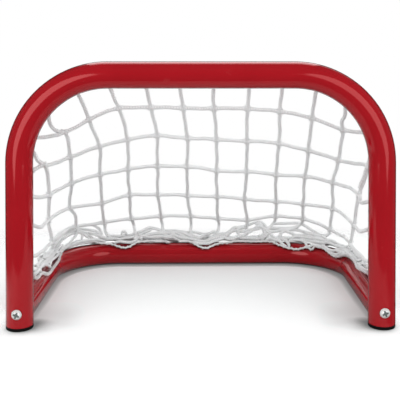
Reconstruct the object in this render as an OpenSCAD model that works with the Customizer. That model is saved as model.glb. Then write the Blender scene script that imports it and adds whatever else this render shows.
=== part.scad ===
// Hockey goal net: a small free-standing goal of bent steel tube with a cord net.
// Millimetres, +Z up. The origin lies on the floor, in the middle of the goal's width and depth.
// The mouth faces -Y. The net slopes from the crossbar back and down to the rear bar.

/* [Frame tubes] */
// Overall width of the goal, outside the posts
goal_w = 560; // [480:5:760]
// Height of the crossbar's top above the floor
goal_h = 382; // [340:1:520]
// Distance from the posts' axis back to the rear bar's axis
base_depth = 312; // [250:1:400]
// Outside diameter of the frame tube
tube_d = 39; // [34:1:42]
// Wall of the frame tube
tube_wall = 1.5; // [1.2:0.1:2.5]
// Bend radius of the two top corners, on the tube's axis
top_bend_r = 126; // [90:1:140]
// Bend radius of the two rear corners, on the tube's axis
rear_bend_r = 114; // [80:1:140]
// Gap between a leg's coped end and its post
cope_gap = 0.2; // [0.1:0.1:1]

/* [Base screws] */
// Height of the screws and of the legs' front ends above the floor
screw_h = 25; // [25:1:40]
// Thread diameter of the base screws
screw_d = 8; // [6:1:10]
// Length of the screw under its head
screw_len = 60; // [58:1:70]
// Diameter of the pan head
head_d = 14.5; // [13:0.5:18]
// Height of the pan head
head_h = 5; // [3.5:0.5:7]
// Turn of the cross recess, as the driver left it
recess_turn = 20; // [0:5:45]
// Clearance around the screw in the posts and plugs
screw_clear = 0.5; // [0.2:0.1:1]
// Width of the nut across its flats
nut_af = 13; // [12:0.5:16]
// Thickness of the nut
nut_t = 6.5; // [5:0.5:8]
// Distance from the post's back to the nut
nut_setback = 12; // [8:1:14]
// Length of the plug in the leg's end
plug_len = 30; // [26:1:45]

/* [Foot caps] */
// Height of the cap's visible rim under the post
cap_rim_h = 5; // [4:0.5:8]
// Rounding of the rim's lower edge
cap_edge_r = 1.5; // [1:0.5:3]
// Height of the cap's sleeve inside the post
cap_sleeve_h = 12; // [8:1:14]
// Wall of the cap's sleeve
cap_wall = 2.5; // [1.5:0.5:4]
// Gap between a plug or a cap and the tube's bore
plug_gap = 0.2; // [0.1:0.1:0.5]

/* [Net] */
// Diameter of the net's cord
cord_d = 6; // [4:0.5:7]
// Distance between the net's columns, along the front frame
column_pitch = 49; // [45:1:60]
// Number of rows of knots between the crossbar and the base
net_rows = 5; // [4:1:6]
// Drop of the first row's ends below the crossbar, as a share of the top bend radius
first_row_drop = 0.75; // [0.6:0.05:0.9]
// Height of the lowest row's ends above the legs, as a share of a mesh
last_row_rise = 1.2; // [1:0.1:1.6]
// Height of the lowest meshes at the rear bar, as a share of the others
foot_mesh = 0.5; // [0.4:0.1:0.9]
// Drop of a row, where it crosses the side column, per row
side_row_drop = 4; // [0:1:7]
// Distance of the side column's foot behind the posts' axis
side_foot_y = 150; // [110:5:180]
// Distance by which the side column hangs inwards
side_sag = 14; // [4:1:20]
// Distance by which a knot strays from its even place
knot_stray = 2.5; // [1:0.5:4]
// Diameter of the border cord that carries the net's edge
border_d = 4; // [3:0.5:5]
// Distance by which the net pulls the border cord inwards between two clips
border_sag = 6; // [2:1:10]
// Least gap between two cords
cord_gap = 0.3; // [0.2:0.1:1]

/* [Gathered foot of the net] */
// Least radius on which the three gathered cords wind around each other
gather_r = 4.5; // [4.4:0.1:8]
// Extra winding radius in the humps of the gathered cords
gather_hump = 5; // [0:0.5:8]
// Length over which the gathered cords wind once
gather_turn = 110; // [90:1:150]
// Distance between two loops of the hem that hang over the tube
scallop_pitch = 176; // [120:1:240]
// Angle by which a loop of the hem reaches down the tube
scallop_angle = 42; // [10:1:50]

/* [Net clips] */
// Diameter of a clip's stud
stud_d = 4; // [3:0.5:5]
// Reach of the stud inside the tube
stud_reach = 3; // [2:0.5:5]
// Gap around the stud in its hole
stud_gap = 0.1; // [0.1:0.05:0.3]
// Diameter of a clip's flange
flange_d = 9; // [8:0.5:12]
// Thickness of a clip's flange
flange_t = 1.5; // [1:0.25:2.5]
// Thickness of a clip's eye
eye_d = 2.5; // [2:0.25:3]
// Depth to which the eye is set in the flange
eye_seat = 0.5; // [0.3:0.1:0.8]
// Play of the border cord in a clip's eye
eye_play = 0.3; // [0.2:0.1:0.6]

/* [Hidden] */
$fn = 64;

red = [0.71, 0.10, 0.12];
black = [0.06, 0.06, 0.06];
zinc = [0.78, 0.78, 0.76];
white = [0.86, 0.87, 0.88];
grey = [0.55, 0.56, 0.57];

degrees = 180 / PI;
tube_r = tube_d / 2;
bore_r = tube_r - tube_wall;
post_x = goal_w / 2 - tube_r;
top_z = goal_h - tube_r;
bar_half = post_x - top_bend_r;
bend_z = top_z - top_bend_r;
top_arc = top_bend_r * PI / 2;

// The base frame lies in a plane that drops from the screws to the floor behind.
base_drop = screw_h - tube_r;
base_run = sqrt(base_depth * base_depth + base_drop * base_drop);
base_tilt = asin(base_drop / base_run);
rear_half = post_x - rear_bend_r;
rear_arc = rear_bend_r * PI / 2;

// The posts' axis lies at frame_y, so that the whole goal is centred on the origin.
front_reach = tube_r + head_h;
rear_reach = base_depth + tube_r;
frame_y = (front_reach - rear_reach) / 2;

screw_hole_d = screw_d + 2 * screw_clear;
stud_len = tube_wall + stud_reach;
eye_hole_r = border_d / 2 + eye_play;
eye_ring_r = eye_hole_r + eye_d / 2;
eye_offset = tube_r + flange_t + eye_ring_r + eye_d / 2 - eye_seat;

// The nut lies in a pocket of the plug, and the screw passes through it.
nut_gap = 0.1;
nut_y = tube_r + nut_setback;

// Swept cords have few sides, because the net has many of them.
cord_sides = 6;
gather_sides = 5;
gather_steps = 36;

// Heights, above the base tube's axis, of the gathered cords and of the net's lowest strands
gather_h = eye_offset + eye_ring_r + eye_d / 2 + cord_gap + gather_r + cord_d / 2;
function scallop(b) = pow(cos(180 * b / scallop_pitch), 4);
function hump(b) = gather_hump * scallop(b);
function foot_h(b) = gather_h + 2 * hump(b) + gather_r + cord_d + cord_gap;

// The hem lies against the tube, and starts this far down its inner side.
hem_r = tube_r + cord_d / 2 + cord_gap;
hem_start = 24;

/* Points on the frame. A distance is measured along the tube from its middle, to the right. */

// Point on the front frame's axis, moved inwards by inset
function front_point(a, inset = 0) =
    let (d = abs(a), s = sign(a), u = (d - bar_half) / top_bend_r * degrees)
    d <= bar_half ? [a, 0, top_z - inset] :
    d <= bar_half + top_arc ?
        [s * (bar_half + (top_bend_r - inset) * sin(u)), 0, bend_z + (top_bend_r - inset) * cos(u)] :
    [s * (post_x - inset), 0, bend_z - (d - bar_half - top_arc)];

// Turn of the front frame's axis at that point, away from the crossbar's direction
function front_turn(a) =
    sign(a) * min(90, max(0, (abs(a) - bar_half) / top_bend_r * degrees));

// Distance along the front frame at which its axis has the height z
function front_distance(z) =
    z > bend_z ? bar_half + top_bend_r * acos((z - bend_z) / top_bend_r) / degrees :
    bar_half + top_arc + bend_z - z;

// Turn of the base frame's axis at the distance b, away from the rear bar's direction
function base_turn(b) =
    sign(b) * min(90, max(0, (abs(b) - rear_half) / rear_bend_r * degrees));

// Point on the base frame's axis, moved inwards in the base's plane and up from that plane
function base_point(b, inwards = 0, up = 0) =
    let (
        d = abs(b),
        s = sign(b),
        u = abs(base_turn(b)),
        on_bar = d <= rear_half,
        on_leg = d > rear_half + rear_arc,
        x = on_bar ? b : s * (rear_half + rear_bend_r * sin(u)),
        back = base_run - (on_leg ? rear_bend_r + d - rear_half - rear_arc : rear_bend_r * (1 - cos(u))),
        run = back - inwards * cos(u)
    )
    [
        x - inwards * s * sin(u),
        run * cos(base_tilt) + up * sin(base_tilt),
        screw_h - run * sin(base_tilt) + up * cos(base_tilt)
    ];

base_half = rear_half + rear_arc + base_run - rear_bend_r;
gather_half = base_half - tube_r - 2 * cord_d;

/* Places of the net's strands */

// Heights at which the rows reach the front frame
leg_top_z = screw_h + tube_r;
row_top_z = top_z - first_row_drop * top_bend_r;
row_end_pitch = (row_top_z - leg_top_z) / (net_rows - 1 + last_row_rise);
function row_end_z(i) = row_top_z - (i - 1) * row_end_pitch;
function row_end(i) = front_distance(row_end_z(i));

// The outermost column on each side hangs from between the first two rows' ends.
half_columns = floor((row_end(1) - column_pitch / 2) / column_pitch + 0.5);
side_column_top = (row_end(1) + row_end(2)) / 2;
function column_top(j) = j == half_columns ? side_column_top : (j - 0.5) * column_pitch;

// A column's foot lies a little further around the base than its head does around the top.
column_flare = 1.1;
side_foot = base_half - side_foot_y / cos(base_tilt);
function column_foot(j) =
    let (d = (j - 0.5) * column_pitch)
    j == half_columns ? side_foot :
    d <= bar_half ? d : bar_half + (d - bar_half) * column_flare;

strand_y = eye_offset + border_d / 2 + cord_d / 2 + cord_gap;
behind = [0, strand_y, 0];
function row_anchor(i, side) = front_point(side * row_end(i), border_sag) + behind;
function column_head(j, side) = front_point(side * column_top(j), border_sag) + behind;
function column_base(j, side) = base_point(side * column_foot(j), 0, foot_h(column_foot(j)));

// Share of a column, from its head, at which row i crosses it
function crossing(i, j) =
    let (head = column_head(j, 1)[2], foot = column_base(j, 1)[2])
    j < half_columns ? i / (net_rows + foot_mesh) :
    (head - row_end_z(i) + (i - 1) * side_row_drop) / (head - foot);

// A knot strays a little from the straight column, each one in its own direction.
function stray(i, j) =
    knot_stray * [sin(97 * i + 59 * j), 0.5 * cos(41 * i + 83 * j), cos(71 * i + 113 * j)];

function knot(i, j, side) =
    let (t = crossing(i, j), sag = j == half_columns ? side_sag : 0)
    (1 - t) * column_head(j, side) + t * column_base(j, side) - [side * sag, 0, 0] + stray(i, side * j);

// The net's back is flat as far as the columns hang from the straight part of the crossbar.
back_columns = floor(bar_half / column_pitch + 0.5);

/* Places of the clips */

half_pitch = column_pitch / 2;
bar_steps = 2 * half_columns - 3;

// Places along one half of the front frame that the border cord passes, as [distance, has a clip]
border_stops = concat(
    [for (m = [1 : bar_steps]) if (m % 2 == 1 || m % 4 == 0) [m * half_pitch, m % 4 == 0]],
    [[(column_top(half_columns - 1) + row_end(1)) / 2, true]],
    [[row_end(1), false], [side_column_top, false], [row_end(2), false]],
    [for (i = [2 : net_rows], k = [0, 1])
        if (k == 1 ? i < net_rows : i % 2 == 0)
            k == 0 ? [front_distance(row_end_z(i + 0.5)), true] : [row_end(i + 1), false]],
    net_rows % 2 == 1 ? [[front_distance(row_end_z(net_rows + 0.5)), true]] : []
);

frame_clip_places = concat([0], [for (s = [-1, 1], p = border_stops) if (p[1]) s * p[0]]);

// The base clips are spread evenly, from the middle of the rear bar to the plugs in the legs.
base_clip_reach = base_half - tube_r - plug_len - flange_d;
base_clip_count = round(base_clip_reach / (2 * column_pitch));
base_clip_pitch = base_clip_reach / base_clip_count;
base_clip_places = [for (k = [-base_clip_count : base_clip_count]) k * base_clip_pitch];

/* Tubes and cords swept along points */

function unit(v) = v / norm(v);
function along(p, i) = unit(p[min(i + 1, len(p) - 1)] - p[max(i - 1, 0)]);

// A cord through the points p. The vector up never lies along the cord.
module cord(p, d, up = [0, 0, 1], sides = cord_sides) {
    n = len(p);
    rings = [
        for (i = [0 : n - 1])
            let (t = along(p, i), side = unit(cross(t, up)), top = cross(side, t))
            for (k = [0 : sides - 1])
                p[i] + d / 2 * (cos(k * 360 / sides) * side + sin(k * 360 / sides) * top)
    ];
    walls = [
        for (i = [0 : n - 2], k = [0 : sides - 1])
            let (a = i * sides + k, b = i * sides + (k + 1) % sides)
            each [[a, b, a + sides], [b, b + sides, a + sides]]
    ];
    start_face = [for (k = [1 : sides - 2]) [0, k + 1, k]];
    last = (n - 1) * sides;
    end_face = [for (k = [1 : sides - 2]) [last, last + k, last + k + 1]];
    polyhedron(points = rings, faces = concat(walls, start_face, end_face));
}

// A short straight piece of net cord between two knots
module strand(p, q) {
    hull() {
        translate(p) sphere(d = cord_d, $fn = cord_sides);
        translate(q) sphere(d = cord_d, $fn = cord_sides);
    }
}

module in_place() {
    translate([0, frame_y, 0]) children();
}

module on_each_side() {
    for (side = [-1, 1]) translate([side * post_x, 0, 0]) children();
}

// A round bar of radius r along the front frame's axis
module front_run(r, below) {
    on_each_side() translate([0, 0, cap_rim_h - below]) cylinder(r = r, h = bend_z - cap_rim_h + below);
    for (m = [0, 1])
        mirror([m, 0, 0])
            translate([bar_half, 0, bend_z])
                rotate([90, 0, 0])
                    rotate_extrude(angle = 90) translate([top_bend_r, 0]) circle(r = r);
    translate([-bar_half, 0, top_z]) rotate([0, 90, 0]) cylinder(r = r, h = 2 * bar_half);
}

// A round bar of radius r along the base frame's axis
module base_run_bar(r, start) {
    translate([0, 0, screw_h]) rotate([-base_tilt, 0, 0]) {
        on_each_side()
            translate([0, start, 0]) rotate([-90, 0, 0]) cylinder(r = r, h = base_run - rear_bend_r - start);
        for (m = [0, 1])
            mirror([m, 0, 0])
                translate([rear_half, base_run - rear_bend_r, 0])
                    rotate_extrude(angle = 90) translate([rear_bend_r, 0]) circle(r = r);
        translate([-rear_half, base_run, 0]) rotate([0, 90, 0]) cylinder(r = r, h = 2 * rear_half);
    }
}

// Turns a piece that stands along +Z so that it points backwards from the front frame
module at_front_place(a) {
    translate(front_point(a)) rotate([0, front_turn(a), 0]) rotate([-90, 0, 0]) children();
}

// Turns a piece that stands along +Z so that it points up from the base frame's plane
module at_base_place(b) {
    translate(base_point(b)) rotate([-base_tilt, 0, 0]) rotate([0, 0, -base_turn(b)]) children();
}

// The point on the way from p to the knot q that stays clear of the column through q
function short_of(p, q, column) =
    let (way = unit(p - q))
    q + (cord_d + cord_gap) / norm(cross(way, unit(column))) * way;

// The direction of a column at a knot
function column_way(j, side) = column_base(j, side) - column_head(j, side);

/* Sub-parts */

// One bent tube: two posts, two corners and the crossbar
module front_frame() {
    color(red) in_place() difference() {
        front_run(tube_r, 0);
        front_run(bore_r, 1);
        on_each_side()
            translate([0, 0, screw_h])
                rotate([90, 0, 0]) cylinder(d = screw_hole_d, h = 2 * tube_d, center = true);
        for (a = frame_clip_places) at_front_place(a) cylinder(d = stud_d + 2 * stud_gap, h = tube_d);
    }
}

// One bent tube: two legs whose front ends are coped to the posts, and the rear bar
module base_frame() {
    color(red) in_place() difference() {
        base_run_bar(tube_r, 0);
        base_run_bar(bore_r, -1);
        on_each_side() cylinder(r = tube_r + cope_gap, h = 3 * tube_d);
        for (b = base_clip_places) at_base_place(b) cylinder(d = stud_d + 2 * stud_gap, h = tube_d);
    }
}

// A black cap under the post: a rim with a rounded edge and a sleeve inside the tube
module foot_cap(side) {
    sleeve_r = bore_r - plug_gap;
    edge_centre = [tube_r - cap_edge_r, cap_edge_r];
    edge = [for (u = [270 : 15 : 360]) edge_centre + cap_edge_r * [cos(u), sin(u)]];
    color(black) in_place() translate([side * post_x, 0, 0]) rotate_extrude() polygon(concat(
        [[0, 0]],
        edge,
        [[tube_r, cap_rim_h], [sleeve_r, cap_rim_h], [sleeve_r, cap_rim_h + cap_sleeve_h]],
        [[sleeve_r - cap_wall, cap_rim_h + cap_sleeve_h], [sleeve_r - cap_wall, cap_rim_h], [0, cap_rim_h]]
    ));
}

module left_foot_cap() { foot_cap(-1); }
module right_foot_cap() { foot_cap(1); }

// A pan head screw. Its cross recess widens to a cone in the middle.
// It runs through the post into the leg's plug.
module base_screw(side) {
    dome_r = (head_d * head_d / 4 + head_h * head_h) / (2 * head_h);
    slot_w = head_d / 6;
    slot_l = 0.62 * head_d;
    slot_depth = head_h / 2;
    cone_r = 0.26 * head_d;
    color(zinc) in_place() translate([side * post_x, -tube_r, screw_h]) rotate([90, 0, 0]) {
        difference() {
            intersection() {
                translate([0, 0, head_h - dome_r]) sphere(r = dome_r);
                cylinder(d = head_d, h = head_h);
            }
            translate([0, 0, head_h - slot_depth]) rotate([0, 0, side * recess_turn]) {
                translate([-slot_l / 2, -slot_w / 2, 0]) cube([slot_l, slot_w, slot_depth]);
                translate([-slot_w / 2, -slot_l / 2, 0]) cube([slot_w, slot_l, slot_depth]);
                cylinder(r1 = 0.8 * slot_w, r2 = cone_r, h = slot_depth);
            }
        }
        translate([0, 0, -screw_len]) cylinder(d = screw_d, h = screw_len);
    }
}

module left_base_screw() { base_screw(-1); }
module right_base_screw() { base_screw(1); }

module hexagon(across) {
    circle(d = across / cos(30), $fn = 6);
}

// The nut that the screw draws up, inside the leg
module base_nut(side) {
    color(zinc) in_place() translate([side * post_x, nut_y, screw_h]) rotate([-90, 0, 0])
        linear_extrude(nut_t) difference() {
            hexagon(nut_af);
            circle(d = screw_d + 2 * nut_gap);
        }
}

module left_base_nut() { base_nut(-1); }
module right_base_nut() { base_nut(1); }

// The plastic plug in the leg's front end, with a hole for the screw and a pocket for the nut
module leg_plug(side) {
    color(black) in_place() translate([side * post_x, 0, 0]) difference() {
        translate([0, 0, screw_h]) rotate([-90 - base_tilt, 0, 0])
            cylinder(r = bore_r - plug_gap, h = tube_r + plug_len);
        cylinder(r = tube_r + cope_gap, h = 3 * tube_d);
        translate([0, 0, screw_h]) rotate([-90, 0, 0]) cylinder(d = screw_hole_d, h = 3 * tube_d);
        translate([0, nut_y, screw_h]) rotate([-90, 0, 0])
            linear_extrude(2 * tube_d) hexagon(nut_af + 2 * nut_gap);
    }
}

module left_leg_plug() { leg_plug(-1); }
module right_leg_plug() { leg_plug(1); }

// A clip: a stud in the tube's wall, a flange, and an eye for the border cord
module net_clip() {
    translate([0, 0, tube_r - stud_len]) cylinder(d = stud_d, h = stud_len + flange_t);
    translate([0, 0, tube_r]) cylinder(d = flange_d, h = flange_t);
    translate([0, 0, eye_offset]) rotate([0, 90, 0])
        rotate_extrude() translate([eye_ring_r, 0]) circle(d = eye_d, $fn = 24);
}

module frame_net_clips() {
    color(grey) in_place() for (a = frame_clip_places) at_front_place(a) net_clip();
}

module base_net_clips() {
    color(grey) in_place() for (b = base_clip_places) at_base_place(b) net_clip();
}

// The cord along the back of the front frame, threaded through the clips' eyes
module border_cord() {
    half = concat(border_stops, [[border_stops[len(border_stops) - 1][0] + eye_d * 2, true]]);
    left = [for (i = [len(half) - 1 : -1 : 0]) [-half[i][0], half[i][1]]];
    stops = concat(left, [[0, true]], half);
    points = [for (s = stops) front_point(s[0], s[1] ? 0 : border_sag) + [0, eye_offset, 0]];
    color(white) in_place() cord(points, border_d, [0, 1, 0]);
}

// The cord along the top of the base frame, threaded through the clips' eyes
module foot_cord() {
    steps = 4 * base_clip_count;
    end_b = base_clip_count * base_clip_pitch + 2 * eye_d;
    points = [for (k = [-steps : steps]) base_point(k / steps * end_b, 0, eye_offset)];
    color(white) in_place() cord(points, border_d);
}

// Knots of columns j_first to j_last on one side, joined by their columns and rows
module net_columns(j_first, j_last, side) {
    for (j = [j_first : j_last]) {
        first_row = j == half_columns ? 2 : 1;
        strand(column_head(j, side), knot(first_row, j, side));
        for (i = [first_row : net_rows - 1]) strand(knot(i, j, side), knot(i + 1, j, side));
        strand(knot(net_rows, j, side), column_base(j, side));
    }
}

module net_row_pieces(j_first, j_last, side) {
    for (i = [1 : net_rows], j = [j_first : j_last]) {
        joins_frame = i == 1 ? j == half_columns - 1 : j == half_columns;
        next = joins_frame ? row_anchor(i, side) : knot(i, j + 1, side);
        if (!(i == 1 && j == half_columns)) strand(knot(i, j, side), next);
    }
}

// The flat back of the net, below the straight part of the crossbar
module net_back() {
    color(white) in_place() {
        for (side = [-1, 1]) {
            net_columns(1, back_columns, side);
            net_row_pieces(1, back_columns - 1, side);
        }
        for (i = [1 : net_rows]) strand(knot(i, 1, -1), knot(i, 1, 1));
    }
}

// The net around one corner, between its flat back and the side
module net_corner(side) {
    color(white) in_place() {
        net_columns(back_columns + 1, half_columns - 1, side);
        net_row_pieces(back_columns + 1, half_columns - 2, side);
        for (i = [1 : net_rows]) {
            start = knot(i, back_columns + 1, side);
            strand(start, short_of(start, knot(i, back_columns, side), column_way(back_columns, side)));
        }
    }
}

module net_left_corner() { net_corner(-1); }
module net_right_corner() { net_corner(1); }

// The net beside one post: the outermost column and the rows' ends on the frame
module net_side(side) {
    last = half_columns - 1;
    color(white) in_place() {
        net_columns(half_columns, half_columns, side);
        net_row_pieces(half_columns, half_columns, side);
        for (i = [2 : net_rows]) {
            start = knot(i, half_columns, side);
            strand(start, short_of(start, knot(i, last, side), column_way(last, side)));
        }
    }
}

module net_left_side() { net_side(-1); }
module net_right_side() { net_side(1); }

// A point of one of the three gathered cords, which wind around each other above the base tube
function gather_point(b, k) =
    let (turn = 360 * (b / gather_turn + k / 3), r = gather_r + hump(b))
    base_point(b, r * sin(turn), gather_h + hump(b) + r * cos(turn));

// A point of the hem, whose loops hang over the tube's inner side
function hem_point(b) =
    let (lean = hem_start + scallop_angle * scallop(b))
    base_point(b, hem_r * sin(lean), hem_r * cos(lean));

// The net's slack foot on the base tube
module net_gather() {
    places = [for (i = [-gather_steps : gather_steps]) i / gather_steps * gather_half];
    color(white) in_place() {
        for (k = [0 : 2]) cord([for (b = places) gather_point(b, k)], cord_d, sides = gather_sides);
        cord([for (b = places) hem_point(b)], cord_d, sides = gather_sides);
    }
}

front_frame();
base_frame();
left_foot_cap();
right_foot_cap();
left_base_screw();
right_base_screw();
left_base_nut();
right_base_nut();
left_leg_plug();
right_leg_plug();
frame_net_clips();
base_net_clips();
border_cord();
foot_cord();
net_back();
net_left_corner();
net_right_corner();
net_left_side();
net_right_side();
net_gather();
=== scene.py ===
"""A small hockey goal on a white floor. Its tubes, screws, nuts, plugs, caps and clips are the part's solids,
which get their paint and plating here. The net, its ropes and its bunched foot are made here."""
import math
import bpy
from mathutils import Matrix, Vector


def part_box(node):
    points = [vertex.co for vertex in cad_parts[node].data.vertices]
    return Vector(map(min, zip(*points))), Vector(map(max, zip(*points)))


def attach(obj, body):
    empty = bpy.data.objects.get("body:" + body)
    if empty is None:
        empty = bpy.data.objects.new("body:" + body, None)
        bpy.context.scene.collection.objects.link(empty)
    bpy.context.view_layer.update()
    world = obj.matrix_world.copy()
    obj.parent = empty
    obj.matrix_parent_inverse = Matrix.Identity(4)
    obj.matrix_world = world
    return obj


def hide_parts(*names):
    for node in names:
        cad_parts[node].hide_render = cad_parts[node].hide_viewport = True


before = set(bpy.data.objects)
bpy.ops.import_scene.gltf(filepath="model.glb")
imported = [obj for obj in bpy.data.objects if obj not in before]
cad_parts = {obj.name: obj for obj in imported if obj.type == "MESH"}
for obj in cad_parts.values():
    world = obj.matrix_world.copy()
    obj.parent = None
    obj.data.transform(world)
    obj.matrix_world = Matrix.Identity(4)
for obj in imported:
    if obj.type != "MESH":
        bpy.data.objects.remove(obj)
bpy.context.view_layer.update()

# ---------- sizes, in metres

MM = 0.001
CORD_R = 3.0 * MM
LOOP_CORD_R = 0.9 * CORD_R  # the net's loops around the border rope
CORNER_CORD_R = 0.84 * CORD_R  # the bunch at the two corners
BAR_CORD_R = 0.94 * CORD_R  # the bunch along the rear bar
ROPE_R = 2.0 * MM  # the ropes through the clips
HEM_R = 1.6 * MM  # the net's edge
TWINE_R = 0.6 * MM  # the twine that overcasts the edge
TWINE_PITCH = 9.0 * MM
PATH_STEP = 2.5 * MM
TOP_BEND_R = 126 * MM
REAR_BEND_R = 114 * MM
CLIP_REACH = 5.8 * MM  # from the tubes' surface to the rope in a clip
RECESS_SHARE = 0.68  # of the screw head's radius

posts_low, posts_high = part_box("front_frame")
base_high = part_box("base_frame")[1]
screw_low, screw_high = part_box("left_base_screw")
TUBE_R = (posts_high[1] - posts_low[1]) / 2
CLIP_RISE = TUBE_R + CLIP_REACH
POST_X = posts_high[0] - TUBE_R
POST_Y = (posts_high[1] + posts_low[1]) / 2
TOP_Z = posts_high[2] - TUBE_R
BAR_HALF = POST_X - TOP_BEND_R
BEND_Z = TOP_Z - TOP_BEND_R
SCREW_Z = (screw_high[2] + screw_low[2]) / 2
HEAD_FACE_Y = screw_low[1]
HEAD_R = (screw_high[0] - screw_low[0]) / 2
HEAD_H = posts_low[1] - HEAD_FACE_Y
DOME_R = (HEAD_R ** 2 + HEAD_H ** 2) / (2 * HEAD_H)
RECESS_R = RECESS_SHARE * HEAD_R
BASE_DEPTH = base_high[1] - TUBE_R - POST_Y
BASE_TILT = math.atan2(SCREW_Z - TUBE_R, BASE_DEPTH)
BASE_RUN = BASE_DEPTH / math.cos(BASE_TILT)
REAR_HALF = POST_X - REAR_BEND_R
REAR_ARC = REAR_BEND_R * math.pi / 2
BASE_HALF = REAR_HALF + REAR_ARC + BASE_RUN - REAR_BEND_R


def front_place(a, inset=0.0, back=0.0):
    """Point by the front frame, at the distance a from the crossbar's middle, to the right, and this far
    towards the goal's inside and back from the tube's axis."""
    d, s = abs(a), math.copysign(1, a)
    if d <= BAR_HALF:
        return Vector((a, POST_Y + back, TOP_Z - inset))
    turn = (d - BAR_HALF) / TOP_BEND_R
    if turn <= math.pi / 2:
        r = TOP_BEND_R - inset
        return Vector((s * (BAR_HALF + r * math.sin(turn)), POST_Y + back, BEND_Z + r * math.cos(turn)))
    fall = d - BAR_HALF - TOP_BEND_R * math.pi / 2
    return Vector((s * (POST_X - inset), POST_Y + back, BEND_Z - fall))


def base_place(b, inwards, up):
    """Point by the base tube, at the distance b from the rear bar's middle, to the right, and this far
    inwards of the tube's axis and up from it."""
    d, s = abs(b), math.copysign(1, b)
    if d <= REAR_HALF:
        turn, x, back = 0.0, b, BASE_RUN
    elif d <= REAR_HALF + REAR_ARC:
        turn = (d - REAR_HALF) / REAR_BEND_R
        x = s * (REAR_HALF + REAR_BEND_R * math.sin(turn))
        back = BASE_RUN - REAR_BEND_R * (1 - math.cos(turn))
    else:
        turn, x, back = math.pi / 2, s * POST_X, BASE_RUN - REAR_BEND_R - (d - REAR_HALF - REAR_ARC)
    run = back - inwards * math.cos(turn)
    return Vector((
        x - inwards * s * math.sin(turn),
        POST_Y + run * math.cos(BASE_TILT) + up * math.sin(BASE_TILT),
        SCREW_Z - run * math.sin(BASE_TILT) + up * math.cos(BASE_TILT),
    ))


# ---------- camera

# Fitted to the photo, in its pixels and in metres and radians
IMAGE = 400
FOCAL_PX = 732.0
CENTRE_PX = (208.5, 61.0)
EYE = Vector((-0.0042, -1.2018, 0.3995))
YAW, PITCH, ROLL = 0.0138, 0.0162, 0.0003
SENSOR = 36.0
NEAREST = 10 * MM
UP, BACK = Vector((0, 0, 1)), Vector((0, 1, 0))

forward = Vector((math.sin(YAW) * math.cos(PITCH), math.cos(YAW) * math.cos(PITCH), -math.sin(PITCH)))
level = Vector((math.cos(YAW), -math.sin(YAW), 0.0))
lift = level.cross(forward)
image_right = math.cos(ROLL) * level + math.sin(ROLL) * lift
image_up = math.cos(ROLL) * lift - math.sin(ROLL) * level


def make_camera():
    data = bpy.data.cameras.new("camera")
    data.sensor_fit = "HORIZONTAL"
    data.sensor_width = SENSOR
    data.lens = FOCAL_PX / IMAGE * SENSOR
    data.shift_x = (IMAGE / 2 - CENTRE_PX[0]) / IMAGE
    data.shift_y = (CENTRE_PX[1] - IMAGE / 2) / IMAGE
    data.clip_start = NEAREST
    data.dof.use_dof = False
    camera = bpy.data.objects.new("camera", data)
    camera.matrix_world = Matrix((
        (image_right[0], image_up[0], -forward[0], EYE[0]),
        (image_right[1], image_up[1], -forward[1], EYE[1]),
        (image_right[2], image_up[2], -forward[2], EYE[2]),
        (0, 0, 0, 1),
    ))
    bpy.context.scene.collection.objects.link(camera)
    bpy.context.scene.camera = camera


def ray(px, py):
    """Direction from the eye through a place in the view, given in pixels from its top left."""
    right, down = px - CENTRE_PX[0], py - CENTRE_PX[1]
    return forward + right / FOCAL_PX * image_right - down / FOCAL_PX * image_up


def seen_at(point):
    """Place in the view at which a point is seen, in pixels."""
    way = point - EYE
    depth = way.dot(forward)
    return (CENTRE_PX[0] + FOCAL_PX * way.dot(image_right) / depth,
            CENTRE_PX[1] - FOCAL_PX * way.dot(image_up) / depth)


def on_line(px, py, start, end):
    """Point seen at (px, py), as deep in the view as the nearest point of the line from start to end."""
    d, line, gap = ray(px, py), end - start, EYE - start
    a, b, c = d.dot(d), d.dot(line), line.dot(line)
    share = (a * line.dot(gap) - b * d.dot(gap)) / (a * c - b * b)
    depth_y = start.y + min(1.0, max(0.0, share)) * line.y
    return EYE + d * ((depth_y - EYE.y) / d.y)


def by_base(px, py, inwards):
    """Distance along the base, and height above its axis, of what is seen at (px, py) this far inwards."""
    up = 30 * MM  # a first guess, mended below by three rounds of a search along the base and a step up
    for _ in range(3):
        low, high = -BASE_HALF, BASE_HALF
        for _ in range(20):
            middle = (low + high) / 2
            if seen_at(base_place(middle, inwards, up))[0] < px:
                low = middle
            else:
                high = middle
        here = seen_at(base_place(low, inwards, up))[1]
        step = here - seen_at(base_place(low, inwards, up + MM))[1]
        up += MM * (here - py) / step
    return low, up


def on_base(px, py, inwards):
    """Point seen at (px, py), this far inwards of the base tube's axis, or further if the tube is there."""
    clear = TUBE_R + CORD_R
    b, up = by_base(px, py, inwards)
    while math.hypot(inwards, up) < clear and inwards < clear:
        inwards += MM
        b, up = by_base(px, py, inwards)
    return base_place(b, inwards, up)


# ---------- curves and cords

# Shares of a cord's radius: what a knot adds, a tapered end, and what each step from that end adds
KNOT_SWELLING = 0.32
TIP_SHARE, TIP_GROWTH = 0.35, 0.3


def wander(key, t, size):
    """A smooth small vector that differs for each key and changes along t, in metres."""
    return size * Vector((
        math.sin(61 * t + 2.1 * key) + 0.5 * math.sin(149 * t + 5.3 * key),
        math.sin(73 * t + 3.7 * key) + 0.5 * math.sin(131 * t + 1.9 * key),
        math.sin(67 * t + 4.9 * key) + 0.5 * math.sin(157 * t + 2.7 * key),
    )) / 1.5


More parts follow.
